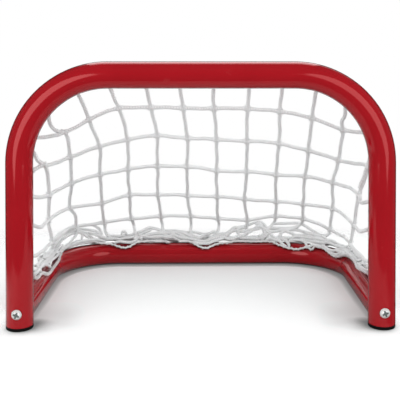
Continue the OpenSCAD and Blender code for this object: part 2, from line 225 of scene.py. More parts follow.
def smooth(points, step=PATH_STEP, stiffness=0.5):
    """A curve through the points, sampled at an even step. Its bends grow softer with the stiffness."""
    full = [2 * points[0] - points[1], *points, 2 * points[-1] - points[-2]]
    result = []
    for p0, p1, p2, p3 in zip(full, full[1:], full[2:], full[3:]):
        span = (p2 - p1).length
        before, after = max((p1 - p0).length, 1e-6), max((p3 - p2).length, 1e-6)
        m1 = stiffness * span * ((p1 - p0) / before + (p2 - p1) / span)
        m2 = stiffness * span * ((p2 - p1) / span + (p3 - p2) / after)
        count = max(2, round(span / step))
        for k in range(count):
            t = k / count
            result.append(
                (2 * t**3 - 3 * t**2 + 1) * p1 + (t**3 - 2 * t**2 + t) * m1
                + (3 * t**2 - 2 * t**3) * p2 + (t**3 - t**2) * m2)
    result.append(points[-1])
    return result


class CordMesh:
    """Gathers swept cords into one mesh, with the length along each cord and the turn around it as UV."""

    def __init__(self, sides=10):
        self.sides = sides
        self.points, self.faces, self.uvs = [], [], []

    def cord(self, path, radius=CORD_R, swellings=(), tapered=False):
        """Sweeps a ring along the path. Each swelling is a place and the length over which it fades."""
        sides, first, along = self.sides, len(self.points), 0.0
        tangent = (path[1] - path[0]).normalized()
        side = tangent.orthogonal().normalized()
        lengths = []
        for i, p in enumerate(path):
            new = (path[min(i + 1, len(path) - 1)] - path[max(i - 1, 0)]).normalized()
            side = (side - side.dot(new) * new).normalized()
            other = new.cross(side)
            if i:
                along += (p - path[i - 1]).length
            lengths.append(along)
            r = radius
            for place, size in swellings:
                r += radius * KNOT_SWELLING * math.exp(-((p - place).length / size) ** 2)
            if tapered:
                r *= min(1.0, TIP_SHARE + min(i, len(path) - 1 - i) * TIP_GROWTH)
            for k in range(sides):
                turn = 2 * math.pi * k / sides
                self.points.append(p + r * (math.cos(turn) * side + math.sin(turn) * other))
        for i in range(len(path) - 1):
            for k in range(sides):
                a, b = first + i * sides + k, first + i * sides + (k + 1) % sides
                self.faces.append((a, b, b + sides, a + sides))
                u0, u1, v0, v1 = lengths[i], lengths[i + 1], k / sides, (k + 1) / sides
                self.uvs.extend(((u0, v0), (u0, v1), (u1, v1), (u1, v0)))
        for ring, order in ((0, -1), (len(path) - 1, 1)):
            self.faces.append(tuple(first + ring * sides + k for k in range(sides))[::order])
            self.uvs.extend((lengths[ring], k / sides) for k in range(sides)[::order])

    def build(self, name, material, replaced=()):
        mesh = bpy.data.meshes.new(name)
        mesh.from_pydata([tuple(p) for p in self.points], [], self.faces)
        layer = mesh.uv_layers.new(name="along")
        for loop, uv in zip(layer.data, self.uvs):
            loop.uv = uv
        mesh.shade_smooth()
        mesh.materials.append(material)
        piece = bpy.data.objects.new(name, mesh)
        bpy.context.scene.collection.objects.link(piece)
        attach(piece, "root")
        if replaced:
            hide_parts(*replaced)


# ---------- materials

class Graph:
    """Short words for the nodes of one material or world."""

    def __init__(self, tree):
        self.tree = tree
        tree.nodes.clear()

    def node(self, kind, **inputs):
        made = self.tree.nodes.new("ShaderNode" + kind)
        for name, value in inputs.items():
            self.put(made.inputs[name.replace("_", " ")], value)
        return made

    def put(self, socket, value):
        if isinstance(value, bpy.types.NodeSocket):
            self.tree.links.new(value, socket)
        else:
            socket.default_value = value

    def math(self, operation, a, b=0.0):
        made = self.node("Math")
        made.operation = operation
        self.put(made.inputs[0], a)
        self.put(made.inputs[1], b)
        return made.outputs[0]

    def times(self, a, *others):
        for b in others:
            a = self.math("MULTIPLY", a, b)
        return a

    def most(self, a, *others):
        for b in others:
            a = self.math("MAXIMUM", a, b)
        return a

    def wave(self, turns):
        """Zero at each whole number of turns, and 1 halfway between two of them."""
        return self.math("ABSOLUTE", self.math("SINE", self.times(turns, math.pi)))

    def place(self):
        return self.node("TexCoord").outputs["Object"]

    def split(self, vector):
        outputs = self.node("SeparateXYZ", Vector=vector).outputs
        return outputs["X"], outputs["Y"], outputs["Z"]

    def open_share(self, reach):
        """Share of the sky that is open within this reach: 1 in the open, 0 in a closed corner."""
        return self.node("AmbientOcclusion", Distance=reach).outputs["AO"]

    def noise(self, where, scale, detail=3.0, roughness=0.5):
        made = self.node("TexNoise", Vector=where, Scale=scale, Detail=detail, Roughness=roughness)
        return made.outputs["Fac"]

    def stretched_noise(self, where, scales, detail=3.0, roughness=0.5):
        mapping = self.node("Mapping", Vector=where, Scale=scales)
        return self.noise(mapping.outputs["Vector"], 1.0, detail, roughness)

    def span(self, value, low, high, to_low=0.0, to_high=1.0):
        """Goes smoothly from to_low to to_high while the value goes from low to high."""
        made = self.node("MapRange")
        made.interpolation_type = "SMOOTHSTEP"
        for name, v in (("Value", value), ("From Min", low), ("From Max", high),
                        ("To Min", to_low), ("To Max", to_high)):
            self.put(made.inputs[name], v)
        return made.outputs["Result"]

    def mix(self, share, a, b):
        made = self.node("Mix")
        made.data_type = "RGBA"
        self.put(made.inputs["Factor"], share)
        self.put(made.inputs["A"], a)
        self.put(made.inputs["B"], b)
        return made.outputs["Result"]

    def bump(self, height, distance, strength, below=None):
        made = self.node("Bump", Height=height, Distance=distance, Strength=strength)
        if below is not None:
            self.put(made.inputs["Normal"], below)
        return made.outputs["Normal"]

    def principled(self, **inputs):
        surface = self.node("BsdfPrincipled", **inputs)
        self.node("OutputMaterial", Surface=surface.outputs["BSDF"])


def new_material(name):
    material = bpy.data.materials.new(name)
    material.use_nodes = True
    return material, Graph(material.node_tree)


def powder_coat():
    """Glossy red powder coat: fine orange peel, faint clouds and dust, scuffs near the floor, painted shade
    in seams and creases.
    """
    deep, bright = (0.355, 0.0052, 0.0105, 1), (0.385, 0.0062, 0.0125, 1)
    scuff_red, dust_red, seam_shade_red = (0.50, 0.05, 0.05, 1), (0.5, 0.3, 0.28, 1), (0.045, 0.004, 0.004, 1)
    scuff_height, seam_reach = 30 * MM, 7 * MM
    material, g = new_material("red powder coat")
    where = g.place()
    height = g.split(where)[2]
    peel = g.noise(where, 420, 2.0)
    fine = g.noise(where, 1500, 1.0)
    cloud = g.noise(where, 9, 4.0, 0.6)
    dust = g.noise(where, 60, 5.0, 0.7)
    scratch = g.stretched_noise(where, (40.0, 40.0, 900.0), 3.0, 0.6)
    scuffed = g.times(g.span(height, 0.0, scuff_height, 0.6, 0.0), g.span(scratch, 0.60, 0.72))
    red = g.mix(g.span(cloud, 0.3, 0.7), deep, bright)
    red = g.mix(g.times(scuffed, 0.35), red, scuff_red)
    red = g.mix(g.times(g.span(dust, 0.62, 0.8), 0.06), red, dust_red)
    # Painted shade: darker red in seams and creases, where little of the sky is open.
    red = g.mix(g.span(g.open_share(seam_reach), 0.5, 1.0, 0.7, 0.0), red, seam_shade_red)
    rough = g.math("ADD", g.span(dust, 0.4, 0.8, 0.07, 0.12), g.times(scuffed, 0.25))
    normal = g.bump(peel, 0.04 * MM, 0.25)
    normal = g.bump(fine, 0.01 * MM, 0.3, normal)
    g.principled(Base_Color=red, Roughness=rough, Specular_IOR_Level=0.75, Specular_Tint=(1, 0.05, 0.04, 1),
                 Coat_Weight=0.8, Coat_Roughness=0.09, Coat_IOR=1.5, Normal=normal, Coat_Normal=normal)
    return material


def black_cap():
    """Moulded black plastic with a fine grain, rubbed grey where it stands on the floor."""
    black, paler, rubbed = (0.003, 0.003, 0.003, 1), (0.006, 0.006, 0.006, 1), (0.02, 0.019, 0.018, 1)
    rubbed_height = 3 * MM
    material, g = new_material("black plastic")
    where = g.place()
    height = g.split(where)[2]
    grain = g.noise(where, 1100, 3.0)
    worn = g.times(g.span(height, 0.0, rubbed_height, 1.0, 0.0), g.span(g.noise(where, 160, 4.0), 0.35, 0.7))
    colour = g.mix(g.noise(where, 40), black, paler)
    colour = g.mix(worn, colour, rubbed)
    rough = g.math("ADD", g.span(grain, 0.3, 0.7, 0.45, 0.6), g.times(worn, 0.3))
    g.principled(Base_Color=colour, Roughness=rough, Specular_IOR_Level=0.1,
                 Normal=g.bump(grain, 0.08 * MM, 0.5))
    return material


def zinc():
    """Bright zinc plate with turned marks, slight clouds, and painted shade in the seams and in the cross
    recess.
    """
    bright, dull = (0.97, 0.96, 0.94, 1), (0.88, 0.89, 0.89, 1)
    seam_shade_grey, recess_shade_grey, recess_share = (0.08, 0.10, 0.09, 1), (0.10, 0.125, 0.115, 1), 0.9
    seam_reach, recess_starts, recess_full = 3 * MM, 0.2 * MM, 0.9 * MM
    material, g = new_material("zinc plate")
    where = g.place()
    cloud = g.noise(where, 500, 4.0, 0.6)
    marks = g.stretched_noise(where, (300.0, 4000.0, 300.0))
    colour = g.mix(g.span(cloud, 0.35, 0.7), bright, dull)
    # Painted shade in the seams, where little of the sky is open.
    colour = g.mix(g.span(g.open_share(seam_reach), 0.45, 0.95, 0.9, 0.0), colour, seam_shade_grey)
    # Painted shade fills the recess, which is what lies deeper than the head's domed face.
    x, y, z = g.split(where)
    across = g.math("SUBTRACT", g.math("ABSOLUTE", x), POST_X)
    rise = g.math("SUBTRACT", z, SCREW_Z)
    from_axis_squared = g.math("ADD", g.times(across, across), g.times(rise, rise))
    dome_y = g.math("ADD", HEAD_FACE_Y, g.math("DIVIDE", from_axis_squared, 2 * DOME_R))
    recess = g.span(g.math("SUBTRACT", y, dome_y), recess_starts, recess_full)
    recess = g.times(recess, g.math("LESS_THAN", from_axis_squared, RECESS_R ** 2), recess_share)
    colour = g.mix(recess, colour, recess_shade_grey)
    g.principled(Base_Color=colour, Metallic=0.35, Roughness=g.span(cloud, 0.3, 0.7, 0.25, 0.35),
                 Normal=g.bump(marks, 0.03 * MM, 0.4))
    return material


def clip_nylon():
    """Natural nylon: slightly see-through, matt, with a faint flow pattern."""
    cool, warm, glow_depth = (0.55, 0.56, 0.57, 1), (0.66, 0.66, 0.65, 1), 2 * MM
    material, g = new_material("clip nylon")
    where = g.place()
    flow = g.noise(where, 260, 4.0, 0.6)
    g.principled(Base_Color=g.mix(flow, cool, warm), Roughness=g.span(flow, 0.3, 0.7, 0.38, 0.55),
                 Subsurface_Weight=0.15, Subsurface_Radius=(glow_depth, glow_depth, glow_depth),
                 Normal=g.bump(g.noise(where, 1300), 0.05 * MM, 0.4))
    return material


def braided_cord(name, pitch, crease_shade_colour, colour_high):
    """White braided cord. Its braid follows the length along the cord and the turn around it."""
    strands = 3.0
    valley_shade_grey, soil_grey = (0.50, 0.51, 0.515, 1), (0.50, 0.49, 0.46, 1)
    fluff_grey, hollow_shade_grey, hollow_reach = (0.42, 0.42, 0.43, 1), (0.20, 0.205, 0.21, 1), 18 * MM
    material, g = new_material(name)
    uv = g.node("UVMap")
    uv.uv_map = "along"
    length, turn, _ = g.split(uv.outputs["UV"])
    where = g.place()
    wobble = g.times(g.noise(where, 300, 2.0), 0.5)
    along = g.math("ADD", g.math("DIVIDE", length, pitch), wobble)
    around = g.times(turn, strands)
    lay, counter = g.wave(g.math("ADD", along, around)), g.wave(g.math("SUBTRACT", along, around))
    braid = g.math("POWER", g.times(lay, counter), 0.6)
    yarn = g.math("SINE", g.times(g.math("ADD", along, g.times(around, 3.0)), 9.0))
    fuzz = g.noise(where, 2600, 3.0, 0.7)
    soil = g.noise(where, 34, 5.0, 0.65)
    fluff = g.noise(where, 330, 2.0, 0.6)
    # Painted shade: the braid's grooves take the darker colour, its crests the lighter one.
    colour = g.mix(braid, crease_shade_colour, colour_high)
    # Painted shade in the valleys between the beads along the cord.
    colour = g.mix(g.span(g.wave(along), 0.0, 0.6, 0.25, 0.0), colour, valley_shade_grey)
    colour = g.mix(g.times(g.span(soil, 0.5, 0.8), 0.18), colour, soil_grey)
    colour = g.mix(g.span(fluff, 0.36, 0.62, 0.10, 0.0), colour, fluff_grey)
    # Painted shade where the cord lies in a hollow, near other cords or the tubes.
    colour = g.mix(g.span(g.open_share(hollow_reach), 0.10, 0.60, 0.5, 0.0), colour, hollow_shade_grey)
    normal = g.bump(braid, 0.55 * MM, 0.9)
    normal = g.bump(yarn, 0.06 * MM, 0.5, normal)
    normal = g.bump(fuzz, 0.12 * MM, 0.5, normal)
    g.principled(Base_Color=colour, Roughness=g.span(fuzz, 0.3, 0.7, 0.62, 0.85), Specular_IOR_Level=0.3,
                 Sheen_Weight=0.5, Sheen_Roughness=0.4, Normal=normal)
    return material


# ---------- the net

NET_STIFFNESS = 0.42
KNOT_HOLD = 20 * MM  # nearer than this to a knot, its cords stray less
KNOT_FADE = 5.5 * MM  # length over which their swelling fades
STRAY = 0.9 * MM
NET_BACK = CLIP_RISE + 5 * MM  # from the front frame's axis to the net's ends
HEAD_INSET, ROW_INSET = 7 * MM, 6 * MM
FOOT_RISE = 46 * MM
CORD_GAP = 0.3 * MM
LOOP_STEP = 1.5 * MM

# Distances in mm along the front frame at which the columns hang, from the middle outwards, side column last
HEADS = {-1: (33, 85, 141, 190, 243, 316), 1: (18, 72, 120, 175, 226, 318)}
# Distances at which the five rows end on the front frame, in mm
ROW_ENDS = {-1: (297, 349, 386, 428, 476), 1: (290, 345, 394, 436, 486)}
# Distances along the base at which the columns reach it, in mm
FEET = {-1: (30, 78, 126, 172, 246, 370), 1: (22, 74, 124, 176, 244, 372)}

# The knots of each row from left to right, where they are seen, in pixels of the view
ROWS = [
    [(64, 132), (89, 119.5), (119, 108), (151, 107.5), (183, 108), (214, 108.5), (247.5, 108.5),
     (280, 111.5), (312, 118), (343, 130)],
    [(43.5, 164.5), (70, 157), (99.5, 146.5), (127.5, 139.5), (157, 135.5), (187.5, 138), (216.5, 139.5),
     (247, 141), (279, 143.5), (308.5, 150.5), (338.5, 160), (369, 166)],
    [(49, 195), (71.5, 183), (100, 174.5), (128, 169), (157.5, 166), (187, 166.5), (216.5, 170.5),
     (246.5, 171.5), (276, 174.5), (305, 176.5), (333, 182.5), (359, 195)],
    [(48.5, 220), (70, 208), (102, 203), (129.5, 195), (158, 194.5), (187.5, 195.5), (217, 196.5),
     (244.5, 199), (276, 201.5), (303, 204), (332.5, 208.5), (354, 225)],
    [(52, 242), (74.5, 227), (104, 222.3), (131.5, 218.7), (161, 216.2), (190.5, 216), (218, 218.5),
     (247, 219.8), (275.5, 216.2), (303, 218.6), (330, 229.5), (350.5, 243.5)],
]


def head_point(side, j):
    return front_place(side * HEADS[side][j] * MM, HEAD_INSET, NET_BACK)


def foot_point(side, j):
    return base_place(side * FEET[side][j] * MM, 0.0, FOOT_RISE)


def row_end_point(side, i):
    return front_place(side * ROW_ENDS[side][i] * MM, ROW_INSET, NET_BACK)


def net_knots():
    """Place of the knot of row i and column j on each side, where j counts outwards from the middle."""
    knots = {}
    for i, row in enumerate(ROWS):
        half = len(row) // 2
        for side in (-1, 1):
            for j in range(half):
                px, py = row[half + j] if side > 0 else row[half - 1 - j]
                knots[side, i, j] = on_line(px, py, head_point(side, j), foot_point(side, j))
    return knots


# Where each column goes on from its last knot into the bunch, as routes for base_route
TAILS = {
    (-1, 0): [(191, 226, 0), (191, 231.5, 3), (194, 236, 7), (200, 239, 10)],
    (-1, 1): [(162.5, 224, 0), (163, 230, 3), (165, 234.5, 7), (171, 237, 10)],
    (-1, 2): [(133.5, 225, 0), (134.5, 231, 2), (137, 236, 6), (143, 239, 10)],
    (-1, 3): [(105, 227, 0), (105.5, 231.5, 1), (108, 236, 4), (113, 240, 9)],
    (-1, 4): [(67, 231, 6), (60, 238, 8), (54, 246, 8), (50, 253, 8), (45, 260, 8)],
    (-1, 5): [(53, 249, 6), (50, 256, 8), (44, 263, 9), (38, 269, 10)],
    (1, 0): [(218.5, 225, 0), (217.5, 231, 1), (214, 235.5, 5), (209, 239, 9)],
    (1, 1): [(247, 226, 0), (246.5, 231, 2), (247, 236, 7), (252, 239, 10)],
    (1, 2): [(274.5, 222, 0), (271, 226.3, 1), (267, 229.5, 3), (264, 234, 7), (258, 237, 10)],
    (1, 3): [(300.5, 223.5, 0), (297, 226.3, 0), (290, 228, 0), (283, 228.6, 0), (275, 228.5, 1),
             (268, 228.3, 2), (262, 230, 4)],
    (1, 4): [(329.5, 233, 1), (326, 235.7, 3), (320, 236, 4), (313, 234, 3), (305, 232.2, 1)],
    (1, 5): [(352, 247, 1), (356, 253, 4), (361, 260, 6), (366, 266, 8)],
}

# Where each row passes between the frame and its outermost knots, in pixels of the view
ROW_WAYS = {
    -1: [[(49, 119), (51, 126), (57, 131)], [(35, 153), (38, 160)], [(41, 197)], [(41, 226.5)],
         [(36.5, 255.5), (41, 252), (46, 247.3)]],
    1: [[], [], [(361.5, 202)], [(359, 230.5)], [(352.8, 247.5), (356.5, 252), (361, 256), (365.5, 259.8)]],
}
# Where the two outer columns of each side pass above their first knots
COLUMN_WAYS = {
    (-1, 4): [(50, 136.5), (58, 135)],
    (-1, 5): [(38, 167.5)],
    (1, 4): [(345, 115), (341.5, 121)],
    (1, 5): [(363, 180), (360, 188)],
}
# Where the left one of column 4 passes between its last two knots
LOW_LEFT_WAY = [(75, 214), (76, 220)]


def base_route(route):
    """The points of a route that is given in pixels of the view, and mm inwards of the base tube's axis."""
    return [on_base(px, py, inwards * MM) for px, py, inwards in route]


def hanging_loop(at, way_along):
    """One turn around the rope that carries the net. Its ends lie on the goal's inner side."""
    r = ROPE_R + CORD_R + CORD_GAP
    angles = (0.4, 1.2, 2.0, 2.8, 3.6)
    outer = way_along.cross(BACK).normalized()
    return [at - outer * 9 * MM + BACK * 2 * MM, at - outer * 4 * MM + BACK * r,
            *(at + r * (math.cos(t) * BACK + math.sin(t) * outer) for t in angles),
            at - outer * 6 * MM - BACK * 1.5 * MM]


def add_loops(net):
    """The net's loops around the border rope, at the head of each column and the end of each row."""
    for side in (-1, 1):
        for d in (*HEADS[side], *ROW_ENDS[side]):
            a = side * d * MM
            way = (front_place(a + 2 * MM) - front_place(a - 2 * MM)).normalized()
            at = front_place(a, rope_inset(a), CLIP_RISE)
            net.cord(smooth(hanging_loop(at, way), LOOP_STEP), LOOP_CORD_R)


def make_net(cord_material):
    """The netting above the bunch: its rows, its columns, its loops, and the turns that bind its knots."""
    net = CordMesh()
    wraps = CordMesh(sides=8)
    knots = net_knots()
    places = list(knots.values())

    def woven(points, key):
        path = smooth(points, stiffness=NET_STIFFNESS)
        held = [p for p in places if min((p - q).length for q in path[::3]) < KNOT_HOLD]
        bent = []
        for n, p in enumerate(path):
            loose = min([1.0] + [(p - q).length / KNOT_HOLD for q in held])
            bent.append(p + loose * wander(key, n * PATH_STEP, STRAY))
        net.cord(bent, CORD_R, [(q, KNOT_FADE) for q in held])

    def between(pixels, start, end):
        return [on_line(px, py, start, end) for px, py in pixels]

    # On the left, rows 1 and 2 turn up to a column's head, and that column turns out to the row's end.
    for i, row in enumerate(ROWS):
        left, right = ([knots[side, i, j] for j in range(len(row) // 2)] for side in (-1, 1))
        left_end = head_point(-1, 4 + i) if i < 2 else row_end_point(-1, i)
        right_end = row_end_point(1, i)
        woven([left_end, *between(ROW_WAYS[-1][i], left_end, left[-1]), *left[::-1], *right,
               *between(ROW_WAYS[1][i], right[-1], right_end), right_end], 10 + i)
    for side in (-1, 1):
        for j in range(len(FEET[side])):
            start = row_end_point(-1, j - 4) if side < 0 and j > 3 else head_point(side, j)
            column = [knots[side, i, j] for i in range(len(ROWS)) if (side, i, j) in knots]
            way = between(COLUMN_WAYS.get((side, j), []), start, column[0])
            if (side, j) == (-1, 4):
                column[-1:-1] = between(LOW_LEFT_WAY, *column[-2:])
            woven([start, *way, *column, *base_route(TAILS[side, j])], 30 + j + 10 * side)
    add_loops(net)
    for (side, i, j), place in knots.items():
        wrap_knot(wraps, place, side * 13 + i * 7 + j)
    net.build("net_cords", cord_material,
              ["net_back", "net_left_corner", "net_right_corner", "net_left_side", "net_right_side"])
    wraps.build("net_knots", cord_material)


def wrap_knot(mesh, place, key):
    """Two short turns that bind the crossing cords of a knot, seen as a small cross."""
    view = (EYE - place).normalized()
    across = view.cross(UP).normalized()
    rise = across.cross(view)
    wide, deep, thin = 1.75 * CORD_R, 1.25 * CORD_R, 0.42 * CORD_R
    for slant in (0.8, -0.75):
        way = math.cos(slant) * across + math.sin(slant) * rise
        turn = [place + wide * math.cos(t) * way + deep * math.sin(t) * view
                for t in (k * math.pi / 6 + 0.2 * key for k in range(13))]
        mesh.cord(turn, thin)


# ---------- ropes through the clips

ROPE_SAG = 6 * MM
CLIP_PITCH = 98 * MM  # on the crossbar
POST_ROPE_END = 6 * MM  # above the legs, beside the post
LEG_ROPE_END = 34 * MM  # behind the posts, above the leg
ROPE_STEPS = 160


def rope_inset(a):
    """The net pulls the rope inwards a little, most between two clips of the crossbar."""
    return ROPE_SAG / 2 * (1 - math.cos(2 * math.pi * a / CLIP_PITCH))


def make_ropes(material):
    """The border rope on the front frame and the foot rope on the base frame."""
    shares = [k / ROPE_STEPS for k in range(-ROPE_STEPS, ROPE_STEPS + 1)]
    top = CordMesh()
    reach = BAR_HALF + TOP_BEND_R * math.pi / 2 + BEND_Z - SCREW_Z - TUBE_R - POST_ROPE_END
    top.cord([front_place(s * reach, rope_inset(s * reach), CLIP_RISE) for s in shares], ROPE_R, tapered=True)
    top.build("border_rope", material, ["border_cord"])
    foot = CordMesh()
    foot_reach = BASE_HALF - TUBE_R - LEG_ROPE_END
    foot.cord([base_place(s * foot_reach, 0.0, CLIP_RISE) for s in shares], ROPE_R, tapered=True)
    foot.build("foot_rope", material, ["foot_cord"])


# ---------- the bunched foot of the net

# Slack cords of the bunch, one route each
CORNERS = [
    # around the left corner, above the leg
    [(49, 246, 2), (52, 240.5, 0), (56, 236.5, 0), (62, 232, 0), (68, 228.5, 0), (74, 226, 0)],
    [(52, 243, 4), (57, 238.5, 4), (63, 234.5, 4), (69, 231.5, 4), (75, 230, 4), (82, 231.5, 4),
     (88, 234.5, 6), (92, 238, 8), (97, 240, 10)],
    [(56, 247, 8), (60, 242.5, 8), (64, 238.5, 8), (68, 235.5, 8), (73, 233.5, 6), (79, 232.5, 6),
     (85, 235, 8), (89, 238.5, 10)],
    [(65, 247.5, 12), (69, 244, 12), (72, 240, 12), (75, 236.5, 10), (77, 233, 8), (78, 229.5, 6)],
    [(81.5, 241, 10), (82, 237, 8), (82, 233, 6), (80, 230, 4)],
    [(70, 245.5, 13), (76, 243, 13), (82, 241.3, 13), (88, 240.3, 12), (94, 239.6, 11), (100, 240, 11),
     (106, 241.5, 12)],
    [(70, 229, 2), (76, 228.5, 2), (83, 229, 2), (90, 230, 3), (96, 231.5, 4), (100, 234.5, 6),
     (103, 238, 8), (108, 240, 10)],
    [(84, 226, 0), (90, 224.5, 0), (95, 226, 1), (99, 229, 2), (101, 232, 3), (102, 236, 5), (104, 239, 8)],
    [(99, 227, 4), (100.5, 231, 5), (100.5, 236, 7), (98, 240, 9)],
    [(88, 232, 8), (93, 234, 9), (98, 235.5, 10), (103, 237.5, 11), (109, 238.5, 12)],
    [(34, 266, 4), (38, 264, 5), (42, 260, 6), (46, 255.5, 6), (50, 250.5, 6), (54, 245.5, 6), (59, 241, 6)],
    [(35, 271, 8), (39, 267, 9), (43, 263.5, 10), (48, 262.5, 10), (51, 258.5, 10), (54, 254, 10),
     (58, 248.5, 10), (63, 244, 10)],
    [(35, 275, 12), (38.5, 270, 12), (42, 266, 12), (47, 265, 13), (51, 267.5, 15)],
    [(50, 265.5, 14), (51, 261, 12), (55, 257.5, 12), (58.5, 254, 12), (61, 249.5, 12), (66, 246.5, 12)],
    [(43, 257.5, 8), (47, 257.5, 9), (51, 254, 9), (55, 252.5, 10), (60, 252.5, 12)],
    [(36, 279, 15), (40, 274.5, 15), (40, 270, 13), (38, 266, 10), (40, 262, 8)],
    # around the right corner, above the leg
    [(324, 239.6, 6), (330, 241, 6), (335, 242.8, 5), (340, 245.2, 4), (346, 246.4, 3), (350, 249.3, 4),
     (354, 254, 5), (359, 257, 6), (364, 261.5, 6)],
    [(341, 248.4, 8), (346, 249.6, 8), (350, 252.4, 8), (355, 257.4, 9), (358, 262, 10), (363, 264.2, 9),
     (368, 268, 8)],
    [(334, 249.6, 13), (340, 251.6, 12), (346, 252.5, 11), (351, 255.6, 12), (354.5, 260.4, 13),
     (359, 264.6, 13), (363.5, 269, 14), (367, 271, 14)],
    [(322, 243.4, 11), (328, 242.6, 10), (334, 244.6, 10), (339, 246.4, 9), (344, 247.6, 8),
     (348, 245.6, 5)],
    [(319, 245, 13), (324, 246.4, 14), (328, 249, 15), (333, 250.6, 15), (338, 249.4, 12), (343, 249.8, 10),
     (348, 253.4, 11), (352, 257, 12)],
    [(327, 250.5, 16), (332, 253.4, 16), (337, 254.2, 16), (342, 252.6, 14), (347, 254.2, 14),
     (350, 251.2, 9), (354, 249.6, 4)],
    [(353, 259, 14), (357, 261, 13), (361, 258.8, 9), (360, 254.8, 5)],
    [(356.5, 266, 16), (360, 267.4, 15), (362, 263.6, 12), (366, 264.4, 10)],
]
